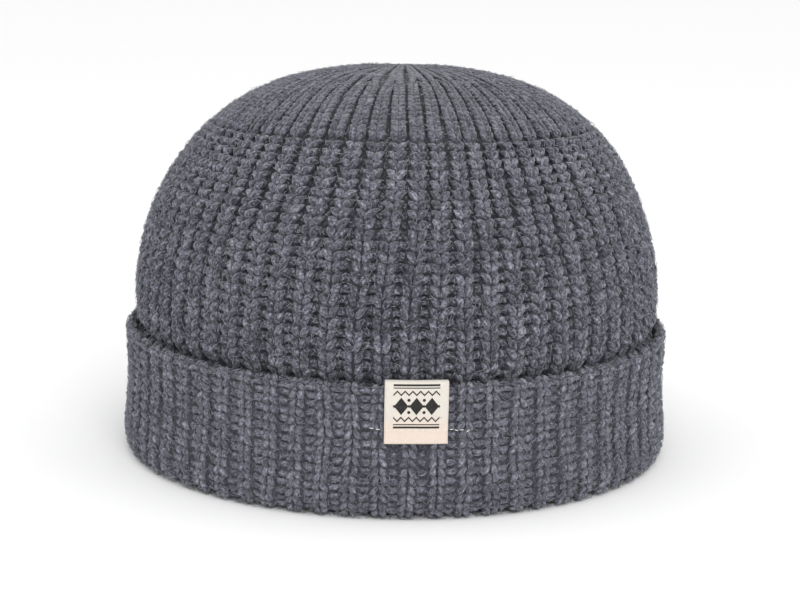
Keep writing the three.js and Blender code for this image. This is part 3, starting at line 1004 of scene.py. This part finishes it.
class BEANIE_OT_cuff_stitches(bpy.types.Operator):
    """Knits the cuff's face from the fold to the edge, upside down as a folded cuff is"""
    bl_idname = "beanie.cuff_stitches"
    bl_label = "Cuff stitches"

    def execute(self, context):
        scene = context.scene
        knit, cuff = scene.beanie_knit, scene.beanie_cuff
        meridian = cuff_meridian(knit, cuff)
        layout = RibLayout(knit)
        start, end = CUFF_STITCHES
        edges = np.linspace(start, end, round((end - start) / knit.cuff_row) + 1)
        colours = scene.beanie_colours
        # The same wool as the crown's, painted lighter: its dark stop takes the shade colour and its body
        # the lighter cuff colour
        material = yarn_material("wool_cuff_yarn_lit", (
            colours.yarn_shade, colours.yarn_cuff_lit, colours.yarn_light))

        def on_face(lift, rib, along, at_fold):
            at_front = np.minimum(rib, layout.count - 1 - rib) < 1
            behind_label = at_front & (along > LABEL_COVERS_FROM)
            lift = lift - np.where(behind_label, STITCHES_UNDER_LABEL, 0.0)
            return lift + at_fold * (1 - smooth_step(*FOLD_ENDS, along))

        def legs_at(lift, rib, along):
            return on_face(lift, rib, along, LEGS_AT_FOLD)

        def purls_at(lift, rib, along):
            return on_face(lift, rib, along, PURLS_AT_FOLD)

        leg, purl = upside_down(CUFF_LEG), upside_down(CUFF_PURL)
        pieces = (
            ("cuff_legs_left", stitch_leg("cuff_leg_left", -1, leg), legs_at),
            ("cuff_legs_right", stitch_leg("cuff_leg_right", 1, leg), legs_at),
            ("cuff_purls", purl_bump("cuff_purl", purl), purls_at),
        )
        for number, (name, stitch, lift_at) in enumerate(pieces):
            mesh = lay_swatch(stitch, meridian, layout, edges,
                              knit.seed + CUFF_SEED + number, lift_at=lift_at,
                              uneven=1.1, lump=0.12 * MM)
            add_piece(name, mesh, material, "cuff_wool", "cuff")
        return {"FINISHED"}


# The wool's loose fibres

def fibre_material(name, colours):
    # Loose wool fibres that stand off the yarn: fine, matt and paler than the yarn's body
    material, tree = new_material(name)
    shader = add_node(tree, "ShaderNodeBsdfPrincipled", {
        "Base Color": heather(tree, colours), "Roughness": 0.9, "Specular IOR Level": 0.2})
    add_node(tree, "ShaderNodeOutputMaterial", {"Surface": shader.outputs["BSDF"]})
    return material


# On the crown, fibres start this far above the cuff's edge and leave a hole round the apex
FIBRES_ABOVE_EDGE = 2 * MM
FIBRES_HOLE = 4 * MM

# How far out of the knit the middles of loose fibres lie, and how steeply fibres rise or dip
FIBRES_LIFT = (-0.6 * MM, 0.3 * MM)
FIBRES_SLOPE = 0.22
STEEPEST_FIBRE = 0.6
SHORTEST_FIBRE = 0.3


def lay_fibres(meridian, reach, knit, seed, behind_label):
    """Scatters thin straight fibres evenly over a part of the outline, lying nearly flat."""
    count, length = knit.fibre_count, knit.fibre_length
    bm = bmesh.new()
    bmesh.ops.create_uvsphere(bm, u_segments=3, v_segments=2, radius=1.0)
    mesh = mesh_from(bm, "fibre")
    each = len(mesh.vertices)
    swatch = knit_swatch(mesh, count, 1)
    points = coordinates(swatch)
    copy = np.arange(len(points)) // each
    points[:, 0] -= copy
    rng = np.random.default_rng(seed)
    steps = np.linspace(*reach, 400)
    area = np.cumsum(meridian.read(steps, meridian.half_width))
    middle = np.interp(rng.random(count), area / area[-1], steps)[copy]
    turn = rng.random(count)[copy]
    heading = (rng.random(count) * math.pi)[copy]
    half = (length * (SHORTEST_FIBRE + (1 - SHORTEST_FIBRE) * rng.random(count)) / 2)[copy]
    rise = (rng.normal(size=count) * FIBRES_SLOPE).clip(-STEEPEST_FIBRE, STEEPEST_FIBRE)[copy]
    base = (FIBRES_LIFT[0] + (FIBRES_LIFT[1] - FIBRES_LIFT[0]) * rng.random(count))[copy]
    radius = knit.fibre_thickness / 2
    onwards, aside = half * points[:, 2], radius * points[:, 0]
    if behind_label:
        near = np.minimum(turn, 1 - turn) * FULL_TURN * CUFF_HALF_WIDTH < LABEL_HIGH.x + length / 2
        base = base - np.where(near & (middle > LABEL_LOW.z), FIBRES_UNDER_LABEL, 0.0)
    around = onwards * np.cos(heading) - aside * np.sin(heading)
    upwards = onwards * np.sin(heading) + aside * np.cos(heading)
    wide = np.maximum(meridian.read(middle, meridian.half_width), 2 * MM)
    placed = meridian.place(
        turn + around / (FULL_TURN * wide), middle + upwards,
        base + rise * onwards + radius * points[:, 1])
    placed[:, 2] = np.maximum(placed[:, 2], FLOOR_GAP)
    set_coordinates(swatch, placed)
    return swatch


class BEANIE_OT_fibres(bpy.types.Operator):
    """Covers the crown and the cuff with the wool's loose fibres"""
    bl_idname = "beanie.fibres"
    bl_label = "Loose fibres"

    def execute(self, context):
        scene = context.scene
        knit, colours = scene.beanie_knit, scene.beanie_colours
        shades = colours.yarn_middle, colours.yarn_light, colours.fibre
        material = fibre_material("wool_fibres", shades)
        crown_outline = crown_parts(scene)[0]
        cuff_outline = cuff_meridian(knit, scene.beanie_cuff)
        crown_reach = crown_outline.edge + FIBRES_ABOVE_EDGE, crown_outline.length - FIBRES_HOLE
        pieces = (
            ("crown_fibres", crown_outline, crown_reach, "crown_wool", "crown"),
            ("cuff_fibres", cuff_outline, CUFF_FIBRES, "cuff_wool", "cuff"),
        )
        for number, (name, outline, reach, slot, node) in enumerate(pieces):
            mesh = lay_fibres(outline, reach, knit, knit.seed + FIBRES_SEED + number, node == "cuff")
            add_piece(name, mesh, material, slot, node)
        return {"FINISHED"}


# The label

# How far the tape's face ripples, and how far its sides curl out at its lower end
TAPE_RIPPLE = 0.12 * MM
TAPE_CURL = 0.25 * MM

TAPE_COLUMNS = 24
TAPE_ROWS = 48


def label_meridian(knit, cuff, label):
    """The tape's path: up the cuff's face, over its edge and down to the crown."""
    low, edge, top = LABEL_LOW.z, CUFF_HIGH.z, LABEL_HIGH.z
    rows = []
    for height in np.linspace(low, edge, 16):
        rows.append(ring(cuff_inset(height, cuff) - label.gap, height))
    front = cuff_inset(edge, cuff) - label.gap
    back = cuff_inset(edge, cuff) + knit.wall - 0.6 * MM
    middle, half = (front + back) / 2, (back - front) / 2
    rise = top - label.thickness - edge
    for angle in np.linspace(0, math.pi, 18)[1:]:
        rows.append(ring(middle - half * math.cos(angle), edge + rise * math.sin(angle) ** 0.6))
    return Meridian(rows)


def label_place(scene, across, along, lift):
    """Points on the label: across from its middle, along from its lower end, out of its face.
    The tape ripples a little and its sides curl out."""
    meridian = label_meridian(scene.beanie_knit, scene.beanie_cuff, scene.beanie_label)
    middle = (LABEL_LOW.x + LABEL_HIGH.x) / 2
    aside = np.asarray(across) / (LABEL_HIGH.x - LABEL_LOW.x) * 2
    up = np.asarray(along) / meridian.length
    ripple = TAPE_RIPPLE * np.sin(4.5 * aside + 5.5) * (1 - up)
    curl = TAPE_CURL * np.abs(aside) ** 4 * (1 - smooth_step(0.5, 0.8, up))
    turn = np.arcsin((middle + np.asarray(across)) / CUFF_HALF_WIDTH) / FULL_TURN
    return meridian.place(turn, along, lift + (ripple + curl))


# Threads across the tape and along it, 0.4 mm apart: coarser than real ones, so that they show
TAPE_THREADS = 48


def tape_material(name, tape, warm):
    # Plain-woven cotton tape, calendered: a fine grid of threads with a soft, dry face
    material, tree = new_material(name)
    uv = add_node(tree, "ShaderNodeTexCoord").outputs["UV"]
    split = add_node(tree, "ShaderNodeSeparateXYZ", {"Vector": uv})
    colour = add_node(tree, "ShaderNodeValToRGB", {"Fac": split.outputs["Y"]}, stops=(
        (0.0, linear_colour(warm)), (0.22, linear_colour(warm)), (0.42, linear_colour(tape))))
    threads = []
    for axis in ("X", "Y"):
        turns = add_node(tree, "ShaderNodeMath", {
            0: split.outputs[axis], 1: FULL_TURN * TAPE_THREADS}, operation="MULTIPLY")
        wave = add_node(tree, "ShaderNodeMath", {0: turns.outputs[0]}, operation="SINE")
        threads.append(wave.outputs[0])
    weave = add_node(tree, "ShaderNodeMath", {0: threads[0], 1: threads[1]}, operation="MULTIPLY")
    place = add_node(tree, "ShaderNodeTexCoord").outputs["Object"]
    slubs = add_node(tree, "ShaderNodeTexNoise", {
        "Vector": place, "Scale": pattern_scale(1.2 * MM), "Detail": 4.0, "Roughness": 0.6})
    shade = add_node(tree, "ShaderNodeValToRGB", {"Fac": slubs.outputs["Fac"]}, stops=(
        (0.3, (0.93, 0.925, 0.92, 1)), (0.7, (1, 1, 1, 1))))
    mixed = add_node(tree, "ShaderNodeMix", {
        "Factor": 1.0, MIX_FIRST: colour.outputs["Color"], MIX_SECOND: shade.outputs["Color"]},
        data_type="RGBA", blend_type="MULTIPLY")
    height = add_node(tree, "ShaderNodeMath", {
        0: slubs.outputs["Fac"], 1: 0.8, 2: weave.outputs[0]}, operation="MULTIPLY_ADD")
    bump = add_node(tree, "ShaderNodeBump", {
        "Strength": 0.35, "Distance": 0.08 * MM, "Height": height.outputs[0]})
    shader = add_node(tree, "ShaderNodeBsdfPrincipled", {
        "Base Color": mixed.outputs[MIX_RESULT], "Roughness": 0.8, "Specular IOR Level": 0.25,
        "Sheen Weight": 0.15, "Normal": bump.outputs["Normal"]})
    add_node(tree, "ShaderNodeOutputMaterial", {"Surface": shader.outputs["BSDF"]})
    return material


def ink_material(name, colour):
    # Screen-printed textile ink, nearly black, slightly broken where the weave shows through
    material, tree = new_material(name)
    place = add_node(tree, "ShaderNodeTexCoord").outputs["Object"]
    worn = add_node(tree, "ShaderNodeTexNoise", {
        "Vector": place, "Scale": pattern_scale(0.35 * MM), "Detail": 3.0, "Roughness": 0.6})
    dark = linear_colour(colour)
    pale = tuple(min(1.0, c * 2.2 + 0.02) for c in dark[:3]) + (1.0,)
    shade = add_node(tree, "ShaderNodeValToRGB", {"Fac": worn.outputs["Fac"]}, stops=(
        (0.45, dark), (0.8, pale)))
    shader = add_node(tree, "ShaderNodeBsdfPrincipled", {
        "Base Color": shade.outputs["Color"], "Roughness": 0.75, "Specular IOR Level": 0.2})
    add_node(tree, "ShaderNodeOutputMaterial", {"Surface": shader.outputs["BSDF"]})
    return material


def thread_material(name, colour):
    # Spun polyester sewing thread: clean white with a slight shine on its twist
    material, tree = new_material(name)
    place = add_node(tree, "ShaderNodeTexCoord").outputs["Object"]
    fibres = add_node(tree, "ShaderNodeTexNoise", {
        "Vector": place, "Scale": pattern_scale(0.2 * MM), "Detail": 3.0})
    white = linear_colour(colour)
    grey = tuple(c * 0.8 for c in white[:3]) + (1.0,)
    shade = add_node(tree, "ShaderNodeValToRGB", {"Fac": fibres.outputs["Fac"]}, stops=(
        (0.35, grey), (0.6, white)))
    bump = add_node(tree, "ShaderNodeBump", {
        "Strength": 0.4, "Distance": 0.05 * MM, "Height": fibres.outputs["Fac"]})
    shader = add_node(tree, "ShaderNodeBsdfPrincipled", {
        "Base Color": shade.outputs["Color"], "Roughness": 0.55, "Normal": bump.outputs["Normal"]})
    add_node(tree, "ShaderNodeOutputMaterial", {"Surface": shader.outputs["BSDF"]})
    return material


class BEANIE_OT_label(bpy.types.Operator):
    """Makes the woven label, folded over the cuff's edge"""
    bl_idname = "beanie.label"
    bl_label = "Label"

    def execute(self, context):
        scene = context.scene
        label, colours = scene.beanie_label, scene.beanie_colours
        meridian = label_meridian(scene.beanie_knit, scene.beanie_cuff, label)
        width = LABEL_HIGH.x - LABEL_LOW.x
        mesh = cloth_grid("label_tape", TAPE_COLUMNS, TAPE_ROWS)
        flat = coordinates(mesh)
        across = width * (flat[:, 0] - 0.5)
        along = meridian.length * flat[:, 1]
        set_coordinates(mesh, label_place(scene, across, along, 0.0))
        with edited(mesh) as bm:
            bm.faces.ensure_lookup_table()
            if bm.faces[0].normal.y > 0:
                bmesh.ops.reverse_faces(bm, faces=bm.faces)
            bmesh.ops.solidify(bm, geom=bm.faces, thickness=label.thickness)
        material = tape_material("cotton_tape", colours.tape, colours.tape_warm)
        add_piece("label_tape", mesh, material, "label_tape", "label")
        return {"FINISHED"}


# The ornament. Rules, waves and dots are placed at shares of its height: rules have their
# thickness beside it, and waves a 1 or a -1 for which way up they are.

RULES = ((0.015, 0.6 * MM), (0.08, 0.3 * MM), (0.92, 0.3 * MM), (0.985, 0.6 * MM))
WAVES = ((0.2, 1), (0.8, -1))
WAVE_COUNT = 6
WAVE_THICK = 0.55 * MM
WAVE_HEIGHT = 0.62 * MM
DIAMOND_PITCH = 0.33
DIAMOND_RADIUS = 2.75 * MM
BEAD_RADIUS = 0.42 * MM
DOTS = (0.36, 0.64)
DOT_RADIUS = 0.5 * MM
INK_THICK = 0.1 * MM
INK_PROUD = 0.06 * MM


def flat_bar(bm, middle, size, steps=12):
    """A printed bar lying flat, cut across often enough to bend with the tape."""
    made = bmesh.ops.create_grid(bm, x_segments=steps, y_segments=1, size=0.5)["verts"]
    bmesh.ops.scale(bm, vec=(size[0], size[1], 1.0), verts=made)
    bmesh.ops.translate(bm, vec=(middle[0], middle[1], 0.0), verts=made)
    return made


def flat_patch(bm, middle, radius, corners, stretch=1.0):
    """A printed dot or diamond lying flat."""
    made = bmesh.ops.create_circle(bm, cap_ends=True, radius=radius, segments=corners)["verts"]
    bmesh.ops.scale(bm, vec=(stretch, 1.0, 1.0), verts=made)
    bmesh.ops.translate(bm, vec=(middle[0], middle[1], 0.0), verts=made)


class BEANIE_OT_label_print(bpy.types.Operator):
    """Prints the label's ornament: rules, waves and a row of diamonds"""
    bl_idname = "beanie.label_print"
    bl_label = "Label ornament"

    def execute(self, context):
        scene = context.scene
        label, colours = scene.beanie_label, scene.beanie_colours
        width, height = label.print_width, label.print_height
        pitch = width * DIAMOND_PITCH
        bm = bmesh.new()
        for up, thick in RULES:
            flat_bar(bm, (0, height * up), (width, thick))
        for up, flip in WAVES:
            wave = flat_bar(bm, (0, height * up), (width, WAVE_THICK), steps=WAVE_COUNT * 8)
            for vert in wave:
                turns = (vert.co.x / width + 0.5) * WAVE_COUNT
                vert.co.y += flip * WAVE_HEIGHT * (4 * abs(turns - math.floor(turns) - 0.5) - 1)
        for number in range(3):
            across = (number - 1) * pitch
            flat_patch(bm, (across, height * 0.5), DIAMOND_RADIUS, 4, stretch=0.8)
        for number in range(4):
            across = (number - 1.5) * pitch
            flat_patch(bm, (across * 0.97, height * 0.5), BEAD_RADIUS, 10)
        for number in range(2):
            across = (number - 0.5) * pitch
            for up in DOTS:
                flat_patch(bm, (across, height * up), DOT_RADIUS, 10)
        bmesh.ops.recalc_face_normals(bm, faces=bm.faces)
        for face in bm.faces:
            if face.normal.z < 0:
                face.normal_flip()
        bmesh.ops.solidify(bm, geom=bm.faces, thickness=INK_THICK)
        mesh = mesh_from(bm, "label_print")
        flat = coordinates(mesh)
        lift = flat[:, 2] - flat[:, 2].max() + INK_PROUD
        up = label.print_low + flat[:, 1]
        set_coordinates(mesh, label_place(scene, flat[:, 0], up, lift))
        material = ink_material("textile_ink", colours.ink)
        add_piece("label_print", mesh, material, "label_tape", "label", smooth=False)
        return {"FINISHED"}


# The sewing. Each loose stitch's place across and above the label's lower end in mm, and its
# turn; then half lengths, radii and how far a stitch's middle stands up, in metres.

LOOSE_STITCHES = (
    (10.9, 4.5, 0.35), (12.4, 4.2, -0.5), (13.9, 4.4, 0.2), (15.6, 4.1, 0.9),
    (-11.7, 4.6, 0.3), (-13.6, 5.0, -0.2),
)
SEAM_STITCHES = 9
SEAM_TURN = 0.1
SEAM_STITCH = {"lift": 0.02 * MM, "half": 0.55 * MM, "radius": 0.09 * MM}
LOOSE_STITCH = {"lift": -0.1 * MM, "half": 0.62 * MM, "radius": 0.11 * MM}
STITCH_ARCH = 0.12 * MM
THREAD_UNEVEN = 0.15


class BEANIE_OT_label_thread(bpy.types.Operator):
    """Sews the label on: a row of stitches over its lower end and a few loose ones beside it"""
    bl_idname = "beanie.label_thread"
    bl_label = "Label thread"

    def execute(self, context):
        scene = context.scene
        label, colours = scene.beanie_label, scene.beanie_colours
        width = LABEL_HIGH.x - LABEL_LOW.x
        rng = np.random.default_rng(scene.beanie_knit.seed + THREAD_SEED)
        places = []
        for number in range(SEAM_STITCHES):
            across = width * ((number + 0.5) / SEAM_STITCHES - 0.5)
            places.append((across, label.seam_height, SEAM_TURN, SEAM_STITCH))
        for across, up, turned in LOOSE_STITCHES:
            places.append((across * MM, up * MM, turned, LOOSE_STITCH))
        bm = bmesh.new()
        for across, up, turned, size in places:
            made = bmesh.ops.create_uvsphere(bm, u_segments=8, v_segments=8, radius=1.0)["verts"]
            turned += THREAD_UNEVEN * rng.normal()
            for vert in made:
                x, y, z = vert.co
                along, aside = size["half"] * z, size["radius"] * x
                vert.co = (
                    across + along * math.cos(turned) - aside * math.sin(turned),
                    up + along * math.sin(turned) + aside * math.cos(turned),
                    size["lift"] + size["radius"] * y + STITCH_ARCH * (1 - z * z),
                )
        bmesh.ops.recalc_face_normals(bm, faces=bm.faces)
        mesh = mesh_from(bm, "label_thread")
        flat = coordinates(mesh)
        set_coordinates(mesh, label_place(scene, flat[:, 0], flat[:, 1], flat[:, 2]))
        material = thread_material("sewing_thread", colours.thread)
        add_piece("label_thread", mesh, material, "label_tape", "label")
        return {"FINISHED"}


# The stage: the camera's and the lamps' places are in metres

FLOOR_HALF = 6.0
SENSOR_WIDTH = 36.0
ROOM_LIGHT = 1.02
LAMPS_AIM = Vector((0, 0, 0.06))
LAMPS = (
    {"name": "key", "place": (0.15, -1.2, 0.78), "size": 0.8, "watts": 8.6},
    {"name": "top", "place": (0.1, 0.2, 1.4), "size": 0.9, "watts": 0.4},
)


class BEANIE_OT_stage(bpy.types.Operator):
    """Sets a pale floor, soft studio light and the camera"""
    bl_idname = "beanie.stage"
    bl_label = "Stage"

    def execute(self, context):
        scene = context.scene
        stage, colours = scene.beanie_stage, scene.beanie_colours
        self.add_camera(scene, stage)
        self.add_floor(colours)
        self.add_lights(scene)
        scene.view_settings.view_transform = "Standard"
        return {"FINISHED"}

    def add_camera(self, scene, stage):
        data = bpy.data.cameras.new("camera")
        data.sensor_width = SENSOR_WIDTH
        data.lens = stage.lens
        camera = new_object("camera", data)
        eye = Vector(stage.eye)
        pitch = math.atan2(eye.z - stage.aim_height, -eye.y)
        forward = Vector((0, math.cos(pitch), -math.sin(pitch)))
        right = Vector((1, 0, 0))
        up = right.cross(forward)
        turned_right = right * math.cos(stage.roll) + up * math.sin(stage.roll)
        turned_up = up * math.cos(stage.roll) - right * math.sin(stage.roll)
        axes = Matrix((turned_right, turned_up, -forward)).transposed()
        camera.matrix_world = Matrix.Translation(eye) @ axes.to_4x4()
        scene.camera = camera

    def add_floor(self, colours):
        bm = bmesh.new()
        bmesh.ops.create_grid(bm, x_segments=1, y_segments=1, size=FLOOR_HALF)
        mesh = mesh_from(bm, "floor")
        floor = new_object("floor", mesh)
        # Matt white studio paint: it takes a soft shadow and shows no gloss
        material, tree = new_material("studio_floor")
        shader = add_node(tree, "ShaderNodeBsdfPrincipled", {
            "Base Color": linear_colour(colours.floor), "Roughness": 0.9})
        add_node(tree, "ShaderNodeOutputMaterial", {"Surface": shader.outputs["BSDF"]})
        mesh.materials.append(material)

    def add_lights(self, scene):
        world = bpy.data.worlds.new("studio")
        world.use_nodes = True
        background = world.node_tree.nodes["Background"]
        background.inputs["Color"].default_value = (1.0, 1.0, 1.0, 1.0)
        background.inputs["Strength"].default_value = ROOM_LIGHT
        scene.world = world
        for row in LAMPS:
            data = bpy.data.lights.new(row["name"], "AREA")
            data.shape = "DISK"
            data.size = row["size"]
            data.energy = row["watts"]
            lamp = new_object(row["name"], data)
            place = Vector(row["place"])
            lamp.location = place
            lamp.rotation_euler = (LAMPS_AIM - place).to_track_quat("-Z", "Y").to_euler()


class BEANIE_PT_panel(bpy.types.Panel):
    """Lists the steps that make the beanie"""
    bl_idname = "BEANIE_PT_panel"
    bl_label = "Fisherman Beanie"
    bl_space_type = "VIEW_3D"
    bl_region_type = "UI"
    bl_category = "Beanie"

    def draw(self, context):
        for name in SETTINGS:
            box = self.layout.box()
            group = getattr(context.scene, name)
            for prop in group.bl_rna.properties:
                if prop.identifier not in {"rna_type", "name"}:
                    box.prop(group, prop.identifier)
        for operator in OPERATORS:
            self.layout.operator(operator.bl_idname)


OPERATORS = (
    BEANIE_OT_stage,
    BEANIE_OT_crown_cloth,
    BEANIE_OT_crown_stitches,
    BEANIE_OT_crown_gathers,
    BEANIE_OT_cuff_cloth,
    BEANIE_OT_cuff_stitches,
    BEANIE_OT_fibres,
    BEANIE_OT_label,
    BEANIE_OT_label_print,
    BEANIE_OT_label_thread,
)


def register():
    for settings in SETTINGS.values():
        bpy.utils.register_class(settings)
    for name, settings in SETTINGS.items():
        setattr(bpy.types.Scene, name, PointerProperty(type=settings))
    for operator in OPERATORS:
        bpy.utils.register_class(operator)
    bpy.utils.register_class(BEANIE_PT_panel)


def unregister():
    bpy.utils.unregister_class(BEANIE_PT_panel)
    for operator in reversed(OPERATORS):
        bpy.utils.unregister_class(operator)
    for name in SETTINGS:
        delattr(bpy.types.Scene, name)
    for settings in reversed(list(SETTINGS.values())):
        bpy.utils.unregister_class(settings)


def main():
    register()
    for operator in OPERATORS:
        group, name = operator.bl_idname.split(".")
        getattr(getattr(bpy.ops, group), name)()


if __name__ == "__main__":
    main()
